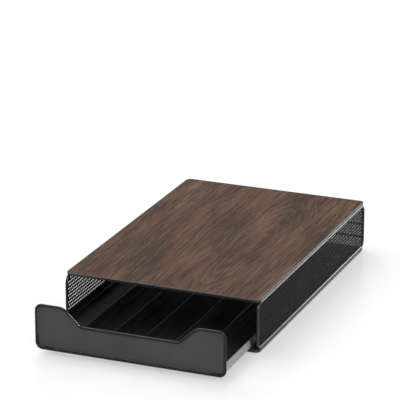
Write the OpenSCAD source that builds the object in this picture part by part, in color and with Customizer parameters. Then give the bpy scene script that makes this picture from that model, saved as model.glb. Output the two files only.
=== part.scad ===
// Capsule drawer with a wood top: a low steel cabinet with expanded-metal sides, on which a
// coffee machine stands, and a shallow drawer with six lanes for capsules.
// X runs across the front, +Y to the back, +Z up. The drawer is drawn partly open.

/* [Cabinet] */
// Width over the side frames
cabinet_w = 271; // [220:1:360]
// Depth of the top and the base
cabinet_d = 420; // [330:1:520]
// Height from the worktop to the top's lip
cabinet_h = 73.5; // [62:0.5:110]
// Plan radius of the corners of the top and the base
plate_corner_r = 7; // [5:0.5:20]

/* [Top and base] */
// Height of the top pan's edge
top_edge_h = 3.6; // [2.6:0.1:8]
// Height of the base's folded skirt
base_edge_h = 3.2; // [2.4:0.1:8]
// Thickness of the pans' sheet steel
pan_t = 1; // [0.6:0.1:1.6]
// Gap between the wood board and the lip round it
board_gap = 0.2; // [0.1:0.05:0.6]
// How far the lip stands above the board
lip_proud = 0.1; // [0:0.1:1]
// Height of the feet below the skirt
foot_h = 1.6; // [1:0.1:6]
// Diameter of a foot
foot_d = 18; // [10:1:30]
// Distance of a foot's centre from the edges of the base
foot_inset = 24; // [18:1:50]

/* [Side frames and mesh] */
// Diameter of the frames' rod
rod_d = 3.8; // [3:0.1:6]
// Centre-line radius of the frames' corners
frame_corner_r = 10; // [6:0.5:20]
// How far the side frames stand past the top and the base, front and back
frame_overhang = 2; // [0:0.5:6]
// Thickness of the expanded metal
mesh_t = 0.8; // [0.5:0.1:1.6]
// Distance between two openings in a row of the mesh
mesh_pitch_w = 4.66; // [4:0.02:12]
// Distance between two rows of openings
mesh_pitch_h = 4.65; // [4:0.05:12]
// Metal between the tips of two openings in a row
mesh_link = 0.52; // [0.4:0.02:2.5]
// Height of the metal between the tips of two rows of openings
mesh_strip = 0.55; // [0.2:0.05:3]
// Least border without openings
mesh_border = 1; // [0.5:0.1:5]
// Gap that a weld fills between a rod and what it holds
weld_gap = 0.05; // [0.02:0.01:0.2]

/* [Back rods] */
// Diameter of the two rods across the back
back_rod_d = 3; // [2:0.1:5]
// Height of the lower back rod above the base
back_rod_lower_z = 15; // [8:0.5:30]
// Spacing of the back rods
back_rod_pitch = 19; // [10:0.5:26]

/* [Drawer front] */
// Gap between the drawer front and the side frames, each side
front_gap_side = 0.5; // [0.4:0.1:3]
// Gap under the drawer front
front_gap_below = 1.2; // [0.5:0.1:4]
// Gap above the drawer front
front_gap_above = 1.7; // [0.5:0.1:6]
// Thickness of the drawer front's sheet
front_t = 1; // [0.6:0.1:2]
// How far the sheet stands back from the middle of the rod round it
front_set_back = 0.9; // [0:0.1:1.4]
// Centre-line radius of the drawer front's corners
front_corner_r = 8; // [5:0.5:16]
// Depth of the finger cut-out
cutout_depth = 22.7; // [10:0.5:40]
// Length of the top edge left on each side of the cut-out
cutout_side = 39.7; // [30:0.1:60]
// Width of each slope of the cut-out
cutout_slope_w = 24.5; // [10:0.5:40]
// Centre-line radius where the cut-out leaves the top edge
cutout_shoulder_r = 18; // [6:0.5:30]
// Centre-line radius at the bottom of the cut-out
cutout_foot_r = 7; // [4:0.5:20]

/* [Drawer tray] */
// Gap between the tray and the side frames, each side
tray_gap_side = 3.2; // [1:0.1:6]
// Height of the tray's underside above the base
tray_lift = 6; // [5:0.1:10]
// Height of the tray's walls
tray_wall_h = 14; // [8:0.5:40]
// Thickness of the tray's sheet steel
tray_t = 1; // [0.6:0.1:1.6]
// Outer radius of the tray's long bends
tray_bend_r = 3; // [1.5:0.5:6]
// Gap between the closed tray and the back rods
tray_gap_back = 6; // [3:0.5:40]
// Number of lanes
lanes = 6; // [3:1:7]
// Thickness of a lane divider
divider_t = 1; // [0.6:0.1:2]
// Width of a divider's rolled top edge
divider_bead_d = 1.8; // [1.2:0.1:3]
// Width of a divider's foot
divider_foot_w = 8; // [4:0.5:14]
// Height of a divider above the tray's floor
divider_h = 12.6; // [6:0.1:40]
// Gap between a divider's ends and the tray
divider_end_gap = 0.3; // [0.1:0.1:2]

/* [Runners] */
// Distance of a runner's web from the side of the tray
runner_inset = 2.5; // [1:0.5:20]
// Width of a runner
runner_w = 14; // [10:0.5:24]
// Thickness of the runners' sheet steel
runner_t = 0.8; // [0.6:0.1:1.2]
// Gap between a runner and the tray above it
runner_gap = 0.6; // [0.4:0.1:2]
// Distance of the runners from the front of the base
runner_start = 6; // [4:0.5:20]
// Distance of the runners from the back of the base
runner_back_gap = 60; // [10:1:150]
// Length of a nylon shoe
shoe_l = 16; // [8:1:30]
// Thickness of a glide
glide_t = 1; // [0.6:0.1:1.4]
// Width of a glide's fixed flange
glide_flange_w = 10; // [6:0.5:20]
// Running gap round what slides
slide_gap = 0.3; // [0.2:0.05:0.8]
// Diameter of a rivet's shank
rivet_d = 3; // [2:0.5:4]
// Diameter of a rivet's head
rivet_head_d = 5.6; // [4:0.2:8]
// Metal left in the runner under a rivet's countersunk head
rivet_land = 0.1; // [0.05:0.05:0.3]
// Number of rivets in a runner
rivets_per_runner = 3; // [2:1:6]

/* [Movement] */
// How far the drawer is drawn open
drawer_open = 101; // [0:0.5:300]

/* [Hidden] */

$fn = 48;
ARC_STEPS = 8;      // straight steps in a rounded corner of an outline
ROD_SIDES = 16;     // flats round the rod of the drawer front
THROUGH = 1;        // how far a cutting shape runs past what it cuts
SHARPEST = 0.1;     // smallest radius inside a bend

BLACK = [0.07, 0.07, 0.075];
SATIN = [0.13, 0.13, 0.14];
PANEL = [0.24, 0.24, 0.245];
NYLON = [0.10, 0.10, 0.10];
RUBBER = [0.05, 0.05, 0.05];
WALNUT = [0.27, 0.18, 0.13];
COATED = [0.10, 0.10, 0.105];

// Heights
base_bottom_z = foot_h;
base_top_z = base_bottom_z + base_edge_h;
top_bottom_z = cabinet_h - top_edge_h;
frame_h = top_bottom_z - base_top_z - rod_d;
frame_l = cabinet_d + 2 * frame_overhang - rod_d;
frame_mid_z = (base_top_z + top_bottom_z) / 2;
frame_mid_y = cabinet_d / 2;
frame_x = cabinet_w / 2 - rod_d / 2;
frame_inner_x = cabinet_w / 2 - rod_d;
tray_z = base_top_z + tray_lift;
tray_floor_z = tray_z + tray_t;

rod_seat = rod_d / 2 + weld_gap;    // from a rod's middle to the edge of a sheet welded to it
pan_bend = board_gap;               // radius inside the pans' bends, which the board clears

// Drawer front, along Y with the drawer shut
front_y = -frame_overhang;
front_back_y = front_y + rod_d;
front_mid_y = front_y + rod_d / 2;
front_sheet_y = front_mid_y + front_set_back;
front_sheet_seat = sqrt(pow(rod_d / 2, 2) - pow(front_set_back, 2)) + weld_gap;
front_w = 2 * (frame_inner_x - front_gap_side);
front_bottom_z = base_top_z + front_gap_below;
front_top_z = top_bottom_z - front_gap_above;

// Tray, with the drawer shut
tray_w = 2 * (frame_inner_x - tray_gap_side);
back_rod_y = cabinet_d + frame_overhang - rod_d / 2;
tray_back_y = back_rod_y - back_rod_d / 2 - tray_gap_back;
tray_lip_y = front_sheet_y + front_t;
tray_lip_w = front_w - rod_d - 2 * front_corner_r;
lane_pitch = (tray_w - 2 * tray_t) / lanes;

// Runners and glides, of the right-hand side
runner_h = tray_lift - runner_gap;
runner_out_x = tray_w / 2 - runner_inset;
runner_in_x = runner_out_x - runner_w;
channel_h = runner_h - 2 * runner_t;
channel_mid_z = base_top_z + runner_h / 2;
channel_l = cabinet_d - runner_start - runner_back_gap - runner_t;
rivet_head_h = runner_t - rivet_land;
rivet_x = runner_in_x + (runner_w - runner_t) / 2;
glide_web_x = runner_in_x - slide_gap - glide_t;
glide_start_y = front_back_y + weld_gap;
glide_end_y = runner_start + channel_l - slide_gap;

// The frame's origin is the middle of the footprint, with the drawer drawn as it is
origin_y = (front_y - drawer_open + cabinet_d + frame_overhang) / 2;

// ---------- outlines with rounded corners ----------

function divider_name(i) = str("lane_divider_", i);

function unit(v) = v / norm(v);
function flat(p) = [p[0], p[1]];

// A corner of a path of [x, y, radius]: [centre, first point, last point, start angle, sweep]
function corner(path, i) =
    let (n = len(path), b = flat(path[i]), r = path[i][2])
    let (u = unit(flat(path[(i + n - 1) % n]) - b), v = unit(flat(path[(i + 1) % n]) - b))
    let (half = acos(u * v) / 2, centre = b + unit(u + v) * r / sin(half))
    let (first = b + u * r / tan(half), last = b + v * r / tan(half))
    let (start = atan2(first[1] - centre[1], first[0] - centre[0]))
    let (turn = u[1] * v[0] - u[0] * v[1] > 0 ? 1 : -1)
    [centre, first, last, start, turn * (180 - 2 * half)];

// The path as points, with each corner an arc
function rounded(path) =
    [for (i = [0:len(path) - 1])
        let (c = corner(path, i), r = path[i][2])
        each [for (k = [0:ARC_STEPS])
            let (a = c[3] + c[4] * k / ARC_STEPS) c[0] + r * [cos(a), sin(a)]]];

function rectangle(w, h, r) =
    [[w / 2, h / 2, r], [-w / 2, h / 2, r], [-w / 2, -h / 2, r], [w / 2, -h / 2, r]];

// A path moved inwards by d: corners that bulge out tighten, corners that go in open up
function inset(path, d) =
    [for (i = [0:len(path) - 1])
        let (n = len(path), b = flat(path[i]))
        let (u = unit(flat(path[(i + n - 1) % n]) - b), v = unit(flat(path[(i + 1) % n]) - b))
        let (half = acos(u * v) / 2, bulge = u[1] * v[0] - u[0] * v[1] > 0 ? 1 : -1)
        let (p = b + unit(u + v) * bulge * d / sin(half))
        [p[0], p[1], path[i][2] - bulge * d]];

module sheet(path, t) {
    linear_extrude(t) polygon(rounded(path));
}

// A quarter circle about [x, y], from straight below it to its right, or back again
function quarter(x, y, r, back = false) =
    [for (k = [0:ARC_STEPS])
        let (a = -90 * (back ? k : ARC_STEPS - k) / ARC_STEPS) [x + r * cos(a), y + r * sin(a)]];

// Section of a sheet that runs out from X = 0 to X = w, where it turns up to height h
function turned_up(w, h, t, bend) =
    let (r = bend + t)
    concat([[0, 0]], quarter(w - r, r, r), [[w, h], [w - t, h]],
           quarter(w - r, r, bend, back = true), [[0, t]]);

// A round rod bent into a rectangle of centre lines l by h, with quarter bends
module rod_hoop(l, h, r, d) {
    for (turn = [0:3]) {
        along = turn % 2 == 0 ? h : l;
        across = turn % 2 == 0 ? l : h;
        rotate(90 * turn) {
            translate([across / 2 - r, along / 2 - r]) rotate_extrude(angle = 90)
                translate([r, 0]) circle(d = d);
            translate([across / 2, along / 2 - r]) rotate([90, 0, 0])
                cylinder(d = d, h = along - 2 * r);
        }
    }
}

// A round rod swept along any closed path: a ring of points at each step of each bend
module bent_rod(path, d) {
    rings = [for (i = [0:len(path) - 1])
        let (c = corner(path, i), r = path[i][2])
        each [for (k = [0:ARC_STEPS])
            let (a = c[3] + c[4] * k / ARC_STEPS, out = [cos(a), sin(a)])
            [c[0] + r * out, out * sign(c[4])]]];
    n = len(rings);
    points = [for (ring = rings) for (j = [0:ROD_SIDES - 1])
        let (t = 360 * j / ROD_SIDES, p = ring[0] + ring[1] * cos(t) * d / 2)
        [p[0], p[1], sin(t) * d / 2]];
    faces = [for (i = [0:n - 1]) for (j = [0:ROD_SIDES - 1])
        let (i2 = (i + 1) % n, j2 = (j + 1) % ROD_SIDES)
        [i * ROD_SIDES + j, i * ROD_SIDES + j2, i2 * ROD_SIDES + j2, i2 * ROD_SIDES + j]];
    polyhedron(points, faces);
}

// ---------- placing ----------

module in_frame() {
    translate([0, -origin_y, 0]) children();
}

module on_drawer() {
    translate([0, -drawer_open, 0]) children();
}

module on_side(side) {
    if (side > 0) children();
    else mirror([1, 0, 0]) children();
}

// Stands a shape drawn in XY on edge, so that it faces the front
module facing_front(y) {
    translate([0, y, 0]) rotate([90, 0, 0]) children();
}

// Stands a shape drawn in XY on edge, so that it faces the side
module facing_side(x) {
    translate([x, frame_mid_y, frame_mid_z]) rotate([90, 0, 90]) children();
}

// ---------- cabinet ----------

module plan(w, d, r, t) {
    translate([0, cabinet_d / 2, 0]) sheet(rectangle(w, d, r), t);
}

// A plate of the cabinet's size with its edge turned up all round
module pan(h) {
    r = plate_corner_r;
    half = [cabinet_w / 2 - r, cabinet_d / 2 - r];
    section = turned_up(r, h, pan_t, pan_bend);
    translate([0, cabinet_d / 2, 0]) {
        for (turn = [0:3]) {
            across = half[turn % 2];
            along = half[(turn + 1) % 2];
            rotate(90 * turn) translate([across, along, 0]) {
                rotate_extrude(angle = 90) polygon(section);
                rotate([90, 0, 0]) linear_extrude(2 * along) polygon(section);
            }
        }
        translate([-half[0], -half[1], 0]) cube([2 * half[0], 2 * half[1], pan_t]);
    }
}

module base_pan() {
    color(BLACK) in_frame() difference() {
        translate([0, 0, base_top_z]) mirror([0, 0, 1]) pan(base_edge_h);
        rivet_places() cylinder(d = rivet_d, h = base_top_z + THROUGH);
    }
}

module top_pan() {
    color(BLACK) in_frame() translate([0, 0, top_bottom_z]) pan(top_edge_h);
}

module top_board() {
    edge = pan_t + board_gap;
    color(WALNUT) in_frame() translate([0, 0, top_bottom_z + pan_t])
        plan(cabinet_w - 2 * edge, cabinet_d - 2 * edge, plate_corner_r - edge,
             top_edge_h - pan_t - lip_proud);
}

module side_frame(side) {
    color(SATIN) in_frame() on_side(side) facing_side(frame_x)
        rod_hoop(frame_l, frame_h, frame_corner_r, rod_d);
}

// The expanded metal: rows of diamonds, with every other row moved by half a step
module side_mesh(side) {
    size = [frame_l, frame_h] - [2, 2] * rod_seat;
    r = frame_corner_r - rod_seat;
    step = [mesh_pitch_w, mesh_pitch_h];
    opening = step - [mesh_link, mesh_strip];
    room = size - [2, 2] * mesh_border - opening;
    last = [for (k = [0, 1]) floor(room[k] / step[k])];
    color(SATIN) in_frame() on_side(side) facing_side(frame_x - mesh_t / 2)
        linear_extrude(mesh_t) difference() {
            polygon(rounded(rectangle(size[0], size[1], r)));
            for (j = [0:last[1]]) for (i = [0:last[0] - j % 2]) {
                p = [i + (j % 2) / 2 - last[0] / 2, j - last[1] / 2];
                points = diamond([p[0] * step[0], p[1] * step[1]], opening);
                if (clear_of_corner(points, size / 2, r)) polygon(points);
            }
        }
}

function diamond(p, size) =
    [for (v = [[-1, 0], [0, -1], [1, 0], [0, 1]]) p + [v[0] * size[0], v[1] * size[1]] / 2];

// True unless a point lies in the border along a rounded corner
function clear_of_corner(points, half, r) =
    len([for (p = points)
        let (out = [abs(p[0]), abs(p[1])] - (half - [r, r]))
        if (out[0] > 0 && out[1] > 0 && norm(out) > r - mesh_border) p]) == 0;

module back_rod(z) {
    l = 2 * (frame_inner_x - weld_gap);
    color(SATIN) in_frame() translate([-l / 2, back_rod_y, z]) rotate([0, 90, 0])
        cylinder(d = back_rod_d, h = l);
}

module foot(x_side, y_side) {
    lip = 0.8;
    x = x_side * (cabinet_w / 2 - foot_inset);
    y = cabinet_d / 2 + y_side * (cabinet_d / 2 - foot_inset);
    h = foot_h + base_edge_h - pan_t;
    color(RUBBER) in_frame() translate([x, y, 0]) {
        cylinder(d1 = foot_d - 2 * lip, d2 = foot_d, h = lip);
        translate([0, 0, lip]) cylinder(d = foot_d, h = h - lip);
    }
}

// ---------- runners ----------

// A C section that opens inwards, with its back end folded up as the shut stop
module runner(side) {
    color(COATED) in_frame() on_side(side) difference() {
        union() {
            facing_front(runner_start + channel_l + runner_t)
                linear_extrude(channel_l + runner_t) polygon([
                    [runner_in_x, base_top_z], [runner_out_x, base_top_z],
                    [runner_out_x, base_top_z + runner_h], [runner_in_x, base_top_z + runner_h],
                    [runner_in_x, base_top_z + runner_h - runner_t],
                    [runner_out_x - runner_t, base_top_z + runner_h - runner_t],
                    [runner_out_x - runner_t, base_top_z + runner_t],
                    [runner_in_x, base_top_z + runner_t]]);
            translate([runner_in_x, runner_start + channel_l, base_top_z])
                cube([runner_w, runner_t, runner_h]);
        }
        rivet_places([1]) {
            cylinder(d = rivet_d, h = base_top_z + runner_t);
            translate([0, 0, base_top_z + rivet_land]) rivet_head(THROUGH);
        }
    }
}

// A cone that widens upwards, drawn on by extra beyond its height
module rivet_head(extra = 0) {
    flare = (rivet_head_d - rivet_d) / rivet_head_h;
    cylinder(d1 = rivet_d, d2 = rivet_head_d + flare * extra, h = rivet_head_h + extra);
}

module rivet_places(sides = [-1, 1]) {
    pitch = (channel_l - 4 * shoe_l) / (rivets_per_runner - 1);
    for (side = sides) for (i = [0:rivets_per_runner - 1])
        translate([side * rivet_x, runner_start + 2 * shoe_l + i * pitch, 0]) children();
}

module runner_rivets() {
    under = base_top_z - pan_t;
    over = base_top_z + runner_t;
    color(COATED) in_frame() rivet_places() {
        translate([0, 0, under]) cylinder(d = rivet_d, h = over - rivet_head_h - under);
        translate([0, 0, over - rivet_head_h]) rivet_head();
        translate([0, 0, under - rivet_head_h]) rivet_head();
    }
}

// A nylon block in the runner's mouth, slotted for the glide: the drawer's open stop
module runner_shoe(side) {
    z = base_top_z + runner_t;
    w = runner_w - runner_t;
    slot = glide_t + 2 * slide_gap;
    color(NYLON) in_frame() on_side(side) difference() {
        translate([runner_in_x, runner_start, z]) cube([w, shoe_l, channel_h]);
        translate([runner_in_x - THROUGH, runner_start - THROUGH, channel_mid_z - slot / 2])
            cube([w - runner_t - slide_gap + THROUGH, shoe_l + 2 * THROUGH, slot]);
    }
}

// ---------- drawer ----------

function front_path() =
    let (w = front_w - rod_d, lo = front_bottom_z + rod_d / 2, hi = front_top_z - rod_d / 2)
    let (notch = hi - cutout_depth, top_x = front_w / 2 - cutout_side)
    let (foot_x = top_x - cutout_slope_w)
    [[w / 2, hi, front_corner_r], [top_x, hi, cutout_shoulder_r],
     [foot_x, notch, cutout_foot_r], [-foot_x, notch, cutout_foot_r],
     [-top_x, hi, cutout_shoulder_r], [-w / 2, hi, front_corner_r],
     [-w / 2, lo, front_corner_r], [w / 2, lo, front_corner_r]];

module drawer_front_frame() {
    color(BLACK) in_frame() on_drawer() facing_front(front_mid_y)
        bent_rod(front_path(), rod_d);
}

module drawer_front_panel() {
    color(PANEL) in_frame() on_drawer() facing_front(front_sheet_y + front_t)
        sheet(inset(front_path(), front_sheet_seat), front_t);
}

module drawer_tray() {
    l = tray_back_y - front_back_y - weld_gap;
    lip_l = front_back_y - tray_lip_y + tray_t;
    bend = max(tray_bend_r - tray_t, SHARPEST);
    color(SATIN) in_frame() on_drawer() {
        for (side = [-1, 1]) on_side(side) facing_front(tray_back_y) translate([0, tray_z])
            linear_extrude(l) polygon(turned_up(tray_w / 2, tray_wall_h, tray_t, bend));
        translate([-tray_w / 2 + tray_bend_r, tray_back_y - tray_t, tray_z])
            cube([tray_w - 2 * tray_bend_r, tray_t, tray_wall_h]);
        translate([-tray_lip_w / 2, tray_lip_y, tray_z]) cube([tray_lip_w, tray_t, tray_wall_h]);
        translate([-tray_lip_w / 2, tray_lip_y, tray_z]) cube([tray_lip_w, lip_l, tray_t]);
    }
}

// An angle with a rolled top edge, which stands on the tray's floor
module lane_divider(i) {
    l = tray_back_y - tray_t - (tray_lip_y + tray_t) - 2 * divider_end_gap;
    x = (i - lanes / 2) * lane_pitch;
    bead_z = divider_h - divider_bead_d / 2;
    color(SATIN) in_frame() on_drawer()
        translate([x, tray_back_y - tray_t - divider_end_gap, tray_floor_z]) rotate([90, 0, 0])
            linear_extrude(l) {
                translate([-divider_t / 2, 0]) square([divider_t, bead_z]);
                translate([-divider_t / 2, 0]) square([divider_foot_w, divider_t]);
                translate([0, bead_z]) circle(d = divider_bead_d);
            }
}

// A Z section under the tray, whose lower flange runs in the runner
module glide(side) {
    low_z = channel_mid_z - glide_t / 2;
    high_z = tray_z - glide_t;
    out_x = runner_out_x - 2 * runner_t - 2 * slide_gap;
    color(COATED) in_frame() on_drawer() on_side(side) facing_front(glide_end_y)
        linear_extrude(glide_end_y - glide_start_y) polygon([
            [glide_web_x - glide_flange_w, high_z], [glide_web_x, high_z],
            [glide_web_x, low_z], [out_x, low_z], [out_x, low_z + glide_t],
            [glide_web_x + glide_t, low_z + glide_t], [glide_web_x + glide_t, tray_z],
            [glide_web_x - glide_flange_w, tray_z]]);
}

// A nylon block clipped on the back end of the glide's flange
module glide_shoe(side) {
    x = runner_in_x + slide_gap;
    w = runner_w - runner_t - 2 * slide_gap;
    h = channel_h - 2 * slide_gap;
    out_x = runner_out_x - 2 * runner_t - 2 * slide_gap;
    color(NYLON) in_frame() on_drawer() on_side(side) difference() {
        translate([x, glide_end_y - shoe_l, channel_mid_z - h / 2]) cube([w, shoe_l, h]);
        translate([x - THROUGH, glide_end_y - shoe_l - THROUGH, channel_mid_z - glide_t / 2])
            cube([out_x - x + THROUGH, shoe_l + 2 * THROUGH, glide_t]);
    }
}

base_pan();
top_pan();
top_board();
side_frame(-1);  // side_frame_left
side_frame(1);  // side_frame_right
side_mesh(-1);  // side_mesh_left
side_mesh(1);  // side_mesh_right
back_rod(base_top_z + back_rod_lower_z + back_rod_pitch);  // back_rod_upper
back_rod(base_top_z + back_rod_lower_z);  // back_rod_lower
runner(-1);  // runner_left
runner(1);  // runner_right
runner_shoe(-1);  // runner_shoe_left
runner_shoe(1);  // runner_shoe_right
runner_rivets();
foot(-1, -1);  // foot_front_left
foot(1, -1);  // foot_front_right
foot(-1, 1);  // foot_rear_left
foot(1, 1);  // foot_rear_right
drawer_tray();
drawer_front_frame();
drawer_front_panel();
for (i = [1:lanes - 1]) lane_divider(i);
glide(-1);  // glide_left
glide(1);  // glide_right
glide_shoe(-1);  // glide_shoe_left
glide_shoe(1);  // glide_shoe_right
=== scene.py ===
import math

import bpy
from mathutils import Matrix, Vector


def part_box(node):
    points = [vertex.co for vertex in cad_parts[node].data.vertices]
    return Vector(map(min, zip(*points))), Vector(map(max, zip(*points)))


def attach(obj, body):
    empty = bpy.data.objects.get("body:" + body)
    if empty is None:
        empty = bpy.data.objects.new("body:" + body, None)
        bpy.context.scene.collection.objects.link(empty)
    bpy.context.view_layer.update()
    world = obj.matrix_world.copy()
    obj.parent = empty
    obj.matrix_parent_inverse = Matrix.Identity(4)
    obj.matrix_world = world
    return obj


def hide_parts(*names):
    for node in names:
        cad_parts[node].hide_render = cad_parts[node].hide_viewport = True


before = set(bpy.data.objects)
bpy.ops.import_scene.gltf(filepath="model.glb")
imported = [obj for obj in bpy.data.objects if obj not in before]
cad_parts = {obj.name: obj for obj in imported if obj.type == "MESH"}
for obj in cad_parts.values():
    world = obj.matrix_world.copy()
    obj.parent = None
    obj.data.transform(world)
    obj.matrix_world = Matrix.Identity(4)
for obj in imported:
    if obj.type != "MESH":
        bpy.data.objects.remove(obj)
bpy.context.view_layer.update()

bl_info = {
    "name": "Capsule drawer",
    "version": (1, 0, 0),
    "blender": (4, 5, 0),
    "location": "View3D > Sidebar > Capsule drawer",
    "description": "Front rod, finishes and studio for a capsule drawer with a wood top",
    "category": "Object",
}

MM = 0.001
WHITE = (1, 1, 1)
LANES = 6


# ---------- shader expressions ----------

class Value:
    """A number or vector in a material, on which arithmetic adds Math nodes."""

    def __init__(self, finish, socket):
        self.finish, self.socket = finish, socket

    def math(self, operation, first, *others):
        values = dict(enumerate((first, *others)))
        return self.finish.node("ShaderNodeMath", {"operation": operation}, values)

    def __add__(self, other):
        return self.math("ADD", self, other)

    def __radd__(self, other):
        return self.math("ADD", other, self)

    def __sub__(self, other):
        return self.math("SUBTRACT", self, other)

    def __rsub__(self, other):
        return self.math("SUBTRACT", other, self)

    def __mul__(self, other):
        return self.math("MULTIPLY", self, other)

    def __rmul__(self, other):
        return self.math("MULTIPLY", other, self)

    def most(self, other):
        return self.math("MAXIMUM", self, other)

    def size(self):
        return self.math("ABSOLUTE", self)

    def swing(self, width):
        """A pattern from 0 to 1 as a swing about 0, that wide in all."""
        return (self - 0.5) * width

    def soft_step(self, low, high):
        """0 at low and 1 at high, with a soft step between."""
        return self.finish.node("ShaderNodeMapRange", {"interpolation_type": "SMOOTHSTEP"},
                                {"Value": self, "From Min": low, "From Max": high})


class Finish:
    """The nodes of a material or of the world, added one by one."""

    BEVEL_SAMPLES = 6
    # Sockets of a Mix node that mixes colours: factor, first, second and result
    MIX_SOCKETS = (0, 6, 7, 2)

    def __init__(self, holder):
        self.holder = holder
        holder.use_nodes = True
        self.tree = holder.node_tree
        self.tree.nodes.clear()

    def node(self, kind, settings=None, inputs=None, out=0):
        """Adds a node and gives its output, or None if out is None."""
        made = self.tree.nodes.new(kind)
        for key, value in (settings or {}).items():
            if key == "stops":
                ramp = made.color_ramp.elements
                while len(ramp) < len(value):
                    ramp.new(0.5)
                for stop, (position, colour) in zip(ramp, value):
                    stop.position, stop.color = position, (*colour, 1)
            else:
                setattr(made, key, value)
        for key, value in (inputs or {}).items():
            socket = made.inputs[key]
            if isinstance(value, Value):
                self.tree.links.new(value.socket, socket)
            elif socket.type == "RGBA":
                socket.default_value = (*value, 1)
            else:
                socket.default_value = value
        return None if out is None else Value(self, made.outputs[out])

    def point(self):
        """The place on the piece, in metres."""
        return self.node("ShaderNodeTexCoord", out="Object")

    def along(self, axis):
        """The place along X, Y or Z, in metres."""
        return self.node("ShaderNodeSeparateXYZ", None, {0: self.point()}, axis)

    def place(self, scale, shift=(0, 0, 0)):
        """The place on the piece, stretched and shifted for a pattern."""
        return self.node("ShaderNodeMapping", None, {
            "Vector": self.point(), "Location": shift, "Scale": scale})

    def noise(self, scale, detail, roughness, shift=(0, 0, 0)):
        """Noise from 0 to 1, with scale in cells per metre along each axis."""
        return self.node("ShaderNodeTexNoise", None, {
            "Vector": self.place(scale, shift), "Scale": 1, "Detail": detail,
            "Roughness": roughness})

    def mix(self, factor, first, second):
        factor_in, first_in, second_in, result = self.MIX_SOCKETS
        return self.node("ShaderNodeMix", {"data_type": "RGBA"}, {
            factor_in: factor, first_in: first, second_in: second}, result)

    def relief(self, height, depth, edge):
        """A normal with fine relief of that depth, and with slightly rounded edges."""
        rounded = self.node("ShaderNodeBevel", {"samples": self.BEVEL_SAMPLES},
                            {"Radius": edge})
        return self.node("ShaderNodeBump", None, {
            "Strength": 1, "Distance": depth, "Height": height, "Normal": rounded})

    def surface(self, inputs):
        self.output(self.node("ShaderNodeBsdfPrincipled", None, inputs))

    def output(self, shader, kind="ShaderNodeOutputMaterial"):
        self.node(kind, None, {"Surface": shader}, None)


def material(name):
    return Finish(bpy.data.materials.new(name))


# ---------- sizes and colours that a user would change ----------

def colour(name, description, value):
    return bpy.props.FloatVectorProperty(
        name=name, description=description, subtype="COLOR", size=3, min=0, max=1, default=value)


def length(name, description, value):
    """A length, with its default in millimetres."""
    return bpy.props.FloatProperty(
        name=name, description=description, unit="LENGTH", min=0, default=value * MM)


def share(name, description, value):
    return bpy.props.FloatProperty(
        name=name, description=description, subtype="FACTOR", min=0, max=1, default=value)


def watts(name, description, value):
    return bpy.props.FloatProperty(
        name=name, description=description, unit="POWER", min=0, default=value)


class FrontRodSizes(bpy.types.PropertyGroup):
    corner_radius: length("Corner", "Centre-line radius of the front's corners", 8)
    cutout_side: length("Beside the cut-out", "Top edge left on each side of the cut-out", 39.7)
    cutout_slope: length("Slope", "Width of each slope of the cut-out", 24.5)
    cutout_depth: length("Depth", "Depth of the cut-out", 22.7)
    shoulder_radius: length("Shoulder", "Centre-line radius at the top of a slope", 18)
    foot_radius: length("Foot", "Centre-line radius at the bottom of a slope", 7)
    bend_segments: bpy.props.IntProperty(
        name="Bend segments", description="Straight steps in a bend", min=4, default=14)


class WalnutLook(bpy.types.PropertyGroup):
    dark: colour("Dark wood", "Colour of the late growth", (0.010, 0.006, 0.004))
    middle: colour("Wood", "Colour of most of the board", (0.044, 0.023, 0.0135))
    light: colour("Light wood", "Colour of the early growth", (0.190, 0.106, 0.064))
    red: colour("Red streaks", "Colour of the warm streaks", (0.130, 0.056, 0.032))
    roughness: share("Roughness", "Roughness of the oiled face", 0.52)


class CoatLook(bpy.types.PropertyGroup):
    black: colour("Black coat", "Powder coat of the rods and pans", (0.018, 0.018, 0.019))
    mesh: colour("Mesh coat", "Powder coat of the expanded metal", (0.006, 0.006, 0.0065))
    front: colour("Front coat", "Charcoal coat of the drawer front", (0.030, 0.030, 0.031))
    front_rod: colour("Front rod coat", "Black coat of the front's rod", (0.008, 0.008, 0.008))
    tray: colour("Tray coat", "Black coat of the tray, the dividers and the runners",
                 (0.010, 0.010, 0.010))
    nylon: colour("Nylon", "Colour of the sliding shoes", (0.020, 0.020, 0.020))
    rubber: colour("Rubber", "Colour of the feet", (0.018, 0.018, 0.018))
    gloss: share("Roughness", "Roughness of the satin coats", 0.30)


class StudioLook(bpy.types.PropertyGroup):
    floor: colour("Floor", "Colour of the floor", (0.90, 0.90, 0.90))
    ambient: bpy.props.FloatProperty(
        name="Ambient", description="Strength of the light from all round", min=0, default=0.62)
    key: watts("Key light", "Power of the large soft light", 34)
    fill: watts("Fill light", "Power of the soft light at the right", 2.5)
    rim: watts("Rim light", "Power of the light that only shows along glossy edges", 9)
    glint: watts("Glint light", "Power of the small light that only shows on bends", 26)


# ---------- modelling ----------

def deselect():
    if bpy.context.object and bpy.context.object.mode != "OBJECT":
        bpy.ops.object.mode_set(mode="OBJECT")
    bpy.ops.object.select_all(action="DESELECT")


def settle(name, body, nodes, finish):
    """Names the active piece, puts its place into its mesh and hands it to its body."""
    piece = bpy.context.object
    bpy.ops.object.transform_apply(location=True, rotation=True, scale=True)
    piece.name = piece.data.name = name
    piece.data.materials.clear()
    piece.data.materials.append(bpy.data.materials[finish])
    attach(piece, body)
    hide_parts(*nodes)


def pick(piece, numbers):
    """Selects those vertices alone, and leaves the piece in edit mode."""
    bpy.ops.object.mode_set(mode="EDIT")
    bpy.ops.mesh.select_all(action="DESELECT")
    bpy.ops.object.mode_set(mode="OBJECT")
    for vertex in piece.data.vertices:
        vertex.select = vertex.index in numbers
    bpy.ops.object.mode_set(mode="EDIT")


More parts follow.
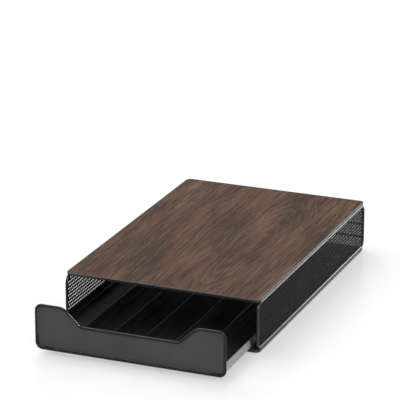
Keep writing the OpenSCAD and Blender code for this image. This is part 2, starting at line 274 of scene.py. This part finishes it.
def wire(points):
    """A closed wire through the points, drawn by extruding one corner after another."""
    deselect()
    bpy.ops.mesh.primitive_plane_add(size=MM, location=points[0])
    bpy.ops.object.mode_set(mode="EDIT")
    bpy.ops.mesh.select_mode(type="VERT")
    bpy.ops.mesh.select_all(action="SELECT")
    bpy.ops.mesh.merge(type="CENTER")
    for last, point in zip(points, points[1:]):
        bpy.ops.mesh.extrude_region_move(
            TRANSFORM_OT_translate={"value": Vector(point) - Vector(last)})
    piece = bpy.context.object
    pick(piece, {0, len(points) - 1})
    bpy.ops.mesh.edge_face_add()
    bpy.ops.object.mode_set(mode="OBJECT")
    return piece


def round_corner(piece, corner, radius, segments):
    """Bevels the corner of a wire to an arc of that radius."""
    mesh = piece.data
    nearest = min(mesh.vertices, key=lambda v: (v.co - corner).length)
    ends = [mesh.vertices[i].co for e in mesh.edges if nearest.index in e.vertices
            for i in e.vertices if i != nearest.index]
    inside = (ends[0] - nearest.co).angle(ends[1] - nearest.co)
    pick(piece, {nearest.index})
    bpy.ops.mesh.bevel(offset_type="OFFSET", offset=radius / math.tan(inside / 2),
                       segments=segments, profile=0.5, affect="VERTICES")
    bpy.ops.object.mode_set(mode="OBJECT")


class DRAWER_OT_front_rod(bpy.types.Operator):
    """Bend one round rod round the drawer front and its finger cut-out"""
    bl_idname = "drawer.front_rod"
    bl_label = "Front rod"

    ROUNDNESS = 4  # gives the rod's section 12 sides

    def execute(self, context):
        size = context.scene.front_rod
        low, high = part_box("drawer_front_frame")
        radius = (high.y - low.y) / 2
        y, side, top, bottom = low.y + radius, high.x - radius, high.z - radius, low.z + radius
        shoulder = high.x - size.cutout_side
        foot, notch = shoulder - size.cutout_slope, top - size.cutout_depth
        right = [(side, bottom, size.corner_radius), (side, top, size.corner_radius),
                 (shoulder, top, size.shoulder_radius), (foot, notch, size.foot_radius)]
        corners = right + [(-x, z, r) for x, z, r in reversed(right)]
        piece = wire([(x, y, z) for x, z, r in corners])
        bpy.ops.object.transform_apply(location=True, rotation=False, scale=False)
        for x, z, r in corners:
            round_corner(piece, Vector((x, y, z)), r, size.bend_segments)
        bpy.ops.object.convert(target="CURVE")
        piece = context.object
        piece.data.bevel_depth = radius
        piece.data.bevel_resolution = self.ROUNDNESS
        bpy.ops.object.convert(target="MESH")
        bpy.ops.object.shade_smooth()
        settle("front_rod", "drawer", ["drawer_front_frame"], "Front rod coat")
        return {"FINISHED"}


# ---------- walnut ----------

# Each pattern's cells per metre along X, Y and Z, its detail, its roughness and its shift
WOOD_PATTERNS = {
    "sway": ((14, 3, 1), 3, 0.5),
    "drift": ((60, 11, 1), 3, 0.55, (3, 1, 0)),
    "streak": ((330, 10, 1), 4, 0.66),
    "fine": ((900, 24, 1), 3, 0.62, (7, 0, 0)),
    "broad": ((24, 6, 1), 3, 0.55, (0, 5, 0)),
    "warm": ((70, 7, 1), 3, 0.6, (11, 2, 0)),
    "pores": ((1900, 120, 1), 1, 0.5, (0, 9, 0)),
}
# Where noise turns into a warm patch or a pore
WARM_STEP = (0.50, 0.70)
PORE_STEP = (0.62, 0.72)
# The arches of the growth figure are rings. The place is stretched and shifted for them,
# and then pushed across and along by swings of these widths
ARCH_STRETCH = (1, 0.16, 1)
ARCH_SHIFT = (-0.052, -0.006, 0)
SWAY_ACROSS, SWAY_ALONG, DRIFT_ACROSS = 0.050, 0.024, 0.016
RINGS = {"Scale": 52, "Distortion": 2.4, "Detail": 3, "Detail Scale": 4,
         "Detail Roughness": 0.65}
# What each pattern adds to the tone, to the relief and to the roughness of the wood, and
# what is then taken off the tone
TONE = {"rings": 0.20, "streak": 0.85, "fine": 0.45, "broad": 0.75}
TONE_SHIFT = 0.62
RELIEF = {"streak": 0.5, "fine": 0.3, "pores": -0.8}
STREAK_ROUGHNESS, PORE_ROUGHNESS = 0.12, 0.15
# The tone at which each colour of the wood is reached
DARK_AT, MIDDLE_AT, LIGHT_AT = 0.12, 0.46, 0.88
# How strongly warm patches and pores colour the wood
WARM_STRENGTH, PORE_STRENGTH = 0.55, 0.6
WOOD_SHINE = 0.07
WOOD_RELIEF, WOOD_EDGE = 0.03 * MM, 0.4 * MM


def weigh(patterns, weights):
    """The sum of the patterns that have a weight, each times its weight."""
    first, *others = [patterns[name] * weight for name, weight in weights.items()]
    return sum(others, first)


def walnut(look):
    """Walnut veneer along Y: arched growth figure, streaks, pores and warm patches."""
    f = material("Walnut veneer")
    patterns = {name: f.noise(*pattern) for name, pattern in WOOD_PATTERNS.items()}
    pores = patterns["pores"].soft_step(*PORE_STEP)
    patterns["pores"] = pores
    sway, drift, streak = patterns["sway"], patterns["drift"], patterns["streak"]
    push = f.node("ShaderNodeCombineXYZ", None, {
        "X": sway.swing(SWAY_ACROSS) + drift.swing(DRIFT_ACROSS),
        "Y": sway.swing(SWAY_ALONG)})
    pushed = f.node("ShaderNodeVectorMath", {"operation": "ADD"}, {
        0: f.place(ARCH_STRETCH, ARCH_SHIFT), 1: push})
    patterns["rings"] = f.node("ShaderNodeTexWave", {
        "wave_type": "RINGS", "rings_direction": "Z", "wave_profile": "SAW"},
        {"Vector": pushed, **RINGS}, "Fac")
    wood = f.node("ShaderNodeValToRGB", {"stops": [
        (DARK_AT, look.dark), (MIDDLE_AT, look.middle), (LIGHT_AT, look.light)]},
        {"Fac": weigh(patterns, TONE) - TONE_SHIFT})
    wood = f.mix(patterns["warm"].soft_step(*WARM_STEP) * WARM_STRENGTH, wood, look.red)
    wood = f.mix(pores * PORE_STRENGTH, wood, look.dark)
    f.surface({
        "Base Color": wood,
        "Roughness": look.roughness + streak.swing(STREAK_ROUGHNESS) + pores * PORE_ROUGHNESS,
        "Specular IOR Level": WOOD_SHINE,
        "Normal": f.relief(weigh(patterns, RELIEF), WOOD_RELIEF, WOOD_EDGE)})


# ---------- coats, nylon and rubber ----------

# Cells per metre of the clouds that make tone and gloss uneven, and where they start and end
CLOUD_CELLS = 22
CLOUD_STEP = (0.3, 0.75)
# A cloud is paler by this factor, and by this much more
CLOUD_GAIN, CLOUD_LIFT = 1.22, 0.002
# How far the clouds and the orange peel change the roughness
CLOUD_ROUGHNESS, PEEL_ROUGHNESS = 0.10, 0.06
# A groove's roughness on top of the coat's, and how far outside the groove it fades
GROOVE_ROUGHNESS = 0.6
GROOVE_FADE = 0.4 * MM
# The clear gloss on outer sides, which fades in between these distances inside them
SIDE_GLOSS = {"Coat IOR": 2.3, "Coat Roughness": 0.28}
SIDE_INSETS = (0.6 * MM, 0.3 * MM)
# How far the matt groove beside a weld runs from a pan's face up the rod, down the rod, up
# the top pan and down the base pan
ROD_FOOT, ROD_HEAD = 1.1 * MM, 0.1 * MM
TOP_PAN_GROOVE, BASE_PAN_GROOVE = 1.1 * MM, 0.45 * MM


def coat(name, base, roughness, ior=1.5, grain=1400, depth=0.012, edge=0.4, grooves=(),
         shiny_side=None):
    """Powder coat: an orange-peel face with slightly uneven gloss and tone.

    grain is in cells per metre, and depth and edge are in millimetres. Between the lower and
    the upper height of each groove it is matt. Faces as far out to the sides as shiny_side
    have a clear gloss on top.
    """
    f = material(name)
    peel = f.noise((grain, grain, grain), detail=2, roughness=0.55)
    cloud = f.noise((CLOUD_CELLS, CLOUD_CELLS, CLOUD_CELLS), detail=3, roughness=0.5)
    paler = [c * CLOUD_GAIN + CLOUD_LIFT for c in base]
    uneven = roughness + cloud.swing(CLOUD_ROUGHNESS) + peel.swing(PEEL_ROUGHNESS)
    for low, high in grooves:
        height = f.along("Z")
        uneven = uneven + GROOVE_ROUGHNESS * (
            height.soft_step(low - GROOVE_FADE, low)
            * (1 - height.soft_step(high, high + GROOVE_FADE)))
    inputs = {"Base Color": f.mix(cloud.soft_step(*CLOUD_STEP), base, paler),
              "Roughness": uneven, "IOR": ior,
              "Normal": f.relief(peel, depth * MM, edge * MM)}
    if shiny_side:
        start, end = (shiny_side - inset for inset in SIDE_INSETS)
        inputs.update(SIDE_GLOSS)
        inputs["Coat Weight"] = f.along("X").size().soft_step(start, end)
    f.surface(inputs)


class DRAWER_OT_finishes(bpy.types.Operator):
    """Make the finishes, and give each cabinet and drawer piece its own"""
    bl_idname = "drawer.finishes"
    bl_label = "Finishes"

    WORN_BY = {
        "Walnut veneer": ["top_board"],
        "Satin black coat": ["side_frame_left", "side_frame_right", "back_rod_upper",
                             "back_rod_lower"],
        "Front rod coat": ["drawer_front_frame"],
        "Black sheet coat": ["base_pan", "top_pan"],
        "Expanded metal coat": ["side_mesh_left", "side_mesh_right"],
        "Charcoal coat": ["drawer_front_panel"],
        "Tray coat": ["drawer_tray"],
        "Divider coat": [f"lane_divider_{i}" for i in range(1, LANES)],
        "Runner coat": ["runner_left", "runner_right", "glide_left", "glide_right",
                        "runner_rivets"],
        "Nylon": ["runner_shoe_left", "runner_shoe_right", "glide_shoe_left",
                  "glide_shoe_right"],
        "Rubber": ["foot_front_left", "foot_front_right", "foot_rear_left", "foot_rear_right"],
    }

    def execute(self, context):
        walnut(context.scene.walnut)
        self.coats(context.scene.coats)
        for finish, nodes in self.WORN_BY.items():
            for node in nodes:
                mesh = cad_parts[node].data
                mesh.materials.clear()
                mesh.materials.append(bpy.data.materials[finish])
        return {"FINISHED"}

    def coats(self, look):
        base_top, top_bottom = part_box("base_pan")[1].z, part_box("top_pan")[0].z
        coat("Satin black coat", look.black, look.gloss - 0.12, ior=1.35, depth=0.004,
             edge=0.2, grooves=[(base_top, base_top + ROD_FOOT),
                                (top_bottom - ROD_HEAD, top_bottom)])
        coat("Black sheet coat", look.black, look.gloss - 0.05, ior=1.42, depth=0.004,
             edge=1.0, grooves=[(base_top - BASE_PAN_GROOVE, top_bottom + TOP_PAN_GROOVE)])
        coat("Expanded metal coat", look.mesh, look.gloss + 0.15, ior=1.12, edge=0.2)
        coat("Charcoal coat", look.front, look.gloss + 0.12, ior=1.45, grain=1700, depth=0.009)
        coat("Tray coat", look.tray, look.gloss, ior=1.3,
             shiny_side=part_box("drawer_tray")[1].x)
        coat("Divider coat", look.tray, look.gloss + 0.05, ior=1.4)
        coat("Front rod coat", look.front_rod, look.gloss - 0.16, ior=1.3, depth=0.003)
        coat("Runner coat", look.tray, look.gloss, grain=900, depth=0.008)
        coat("Nylon", look.nylon, 0.5, grain=2400, depth=0.006)
        coat("Rubber", look.rubber, 0.72, grain=2600, depth=0.02)


# ---------- studio ----------

# Each light's size, where it stands and what it faces, in metres
LIGHTS = {
    "Key": (1.8, (-0.9, 0.5, 1.9), (0, 0, 0)),
    "Fill": (0.6, (0.75, -0.95, 0.6), (0.1, -0.2, 0)),
    "Rim": (0.5, (0.95, 1.75, 0.30), (0.1, 0, 0)),
    "Glint": (0.15, (0.95, -1.00, 1.20), (0.1, 0, 0)),
}
SEEN_IN_GLOSS_ONLY = ("Rim", "Glint")

CAMERA_PLACE = (1.16850, -2.89837, 1.21297)
CAMERA_TURN = (71.0591, -0.0352, 22.1467)  # in degrees
CAMERA_SENSOR, CAMERA_LENS = 36, 222.75    # in millimetres
CAMERA_RANGE = 40                          # in metres

FLOOR_RADIUS, FLOOR_SIDES = 6, 96
FLOOR_ROUGHNESS, FLOOR_SHINE = 0.22, 0.35
# The floor turns white between these distances from the middle, in metres, and near the
# drawer this share of it is white already
FLOOR_FADE = (0.22, 0.60)
FLOOR_WHITE = 0.5


def area_light(name, power, size, place, aim):
    data = bpy.data.lights.new(name, "AREA")
    data.energy, data.size = power, size
    light = bpy.data.objects.new(name, data)
    light.location = place
    light.rotation_euler = (Vector(aim) - Vector(place)).to_track_quat("-Z", "Y").to_euler()
    bpy.context.scene.collection.objects.link(light)
    return light


class DRAWER_OT_studio(bpy.types.Operator):
    """Lay the floor, light the drawer softly and set up the camera"""
    bl_idname = "drawer.studio"
    bl_label = "Studio"

    def execute(self, context):
        look = context.scene.studio
        deselect()
        bpy.ops.mesh.primitive_circle_add(
            vertices=FLOOR_SIDES, radius=FLOOR_RADIUS, fill_type="NGON")
        floor = context.object
        floor.name = "floor"
        floor.data.materials.append(self.floor_finish(look))
        self.world(context, look)
        for name, (size, place, aim) in LIGHTS.items():
            light = area_light(name, getattr(look, name.lower()), size, place, aim)
            light.visible_diffuse = name not in SEEN_IN_GLOSS_ONLY
        self.camera(context)
        context.scene.view_settings.view_transform = "Standard"
        return {"FINISHED"}

    def floor_finish(self, look):
        """A pale, faintly glossy floor that turns to plain white away from the drawer."""
        f = material("Pale floor")
        away = f.node("ShaderNodeVectorMath", {"operation": "LENGTH"}, {0: f.point()}, "Value")
        shaded = f.node("ShaderNodeBsdfPrincipled", None, {
            "Base Color": look.floor, "Roughness": FLOOR_ROUGHNESS,
            "Specular IOR Level": FLOOR_SHINE})
        white = f.node("ShaderNodeEmission", None, {"Color": WHITE, "Strength": 1})
        seen = f.node("ShaderNodeLightPath", out="Is Camera Ray").most(
            f.node("ShaderNodeLightPath", out="Is Glossy Ray"))
        whiteness = away.soft_step(*FLOOR_FADE) * (1 - FLOOR_WHITE) + FLOOR_WHITE
        f.output(f.node("ShaderNodeMixShader", None, {
            0: seen * whiteness, 1: shaded, 2: white}))
        return f.holder

    def world(self, context, look):
        """White where it is seen, and ambient light for everything else."""
        f = Finish(bpy.data.worlds.new("Studio"))
        context.scene.world = f.holder
        path = {ray: f.node("ShaderNodeLightPath", out=f"Is {ray} Ray")
                for ray in ("Camera", "Glossy", "Transmission")}
        seen = path["Camera"].most(path["Glossy"]).most(path["Transmission"])
        f.output(f.node("ShaderNodeBackground", None, {
            "Color": WHITE, "Strength": seen * (1 - look.ambient) + look.ambient}),
            "ShaderNodeOutputWorld")

    def camera(self, context):
        camera = bpy.data.objects.new("Camera", bpy.data.cameras.new("Camera"))
        camera.data.sensor_width = CAMERA_SENSOR
        camera.data.lens = CAMERA_LENS
        camera.data.clip_end = CAMERA_RANGE
        camera.location = CAMERA_PLACE
        camera.rotation_euler = [math.radians(angle) for angle in CAMERA_TURN]
        context.scene.collection.objects.link(camera)
        context.scene.camera = camera


# ---------- add-on ----------

OPERATORS = (DRAWER_OT_finishes, DRAWER_OT_front_rod, DRAWER_OT_studio)
GROUPS = {"front_rod": FrontRodSizes, "walnut": WalnutLook, "coats": CoatLook,
          "studio": StudioLook}


class DRAWER_PT_panel(bpy.types.Panel):
    """The drawer's operators, with the sizes and colours that they use"""
    bl_idname = "DRAWER_PT_panel"
    bl_label = "Capsule drawer"
    bl_space_type = "VIEW_3D"
    bl_region_type = "UI"
    bl_category = "Capsule drawer"

    def draw(self, context):
        for operator in OPERATORS:
            self.layout.operator(operator.bl_idname)
        for key, group in GROUPS.items():
            box = self.layout.box()
            for name in group.__annotations__:
                box.prop(getattr(context.scene, key), name)


def register():
    for group in GROUPS.values():
        bpy.utils.register_class(group)
    for operator in OPERATORS:
        bpy.utils.register_class(operator)
    bpy.utils.register_class(DRAWER_PT_panel)
    for key, group in GROUPS.items():
        setattr(bpy.types.Scene, key, bpy.props.PointerProperty(type=group))


def unregister():
    for key in GROUPS:
        delattr(bpy.types.Scene, key)
    bpy.utils.unregister_class(DRAWER_PT_panel)
    for cls in reversed((*GROUPS.values(), *OPERATORS)):
        bpy.utils.unregister_class(cls)


def main():
    register()
    bpy.ops.drawer.finishes()
    bpy.ops.drawer.front_rod()
    bpy.ops.drawer.studio()


if __name__ == "__main__":
    main()
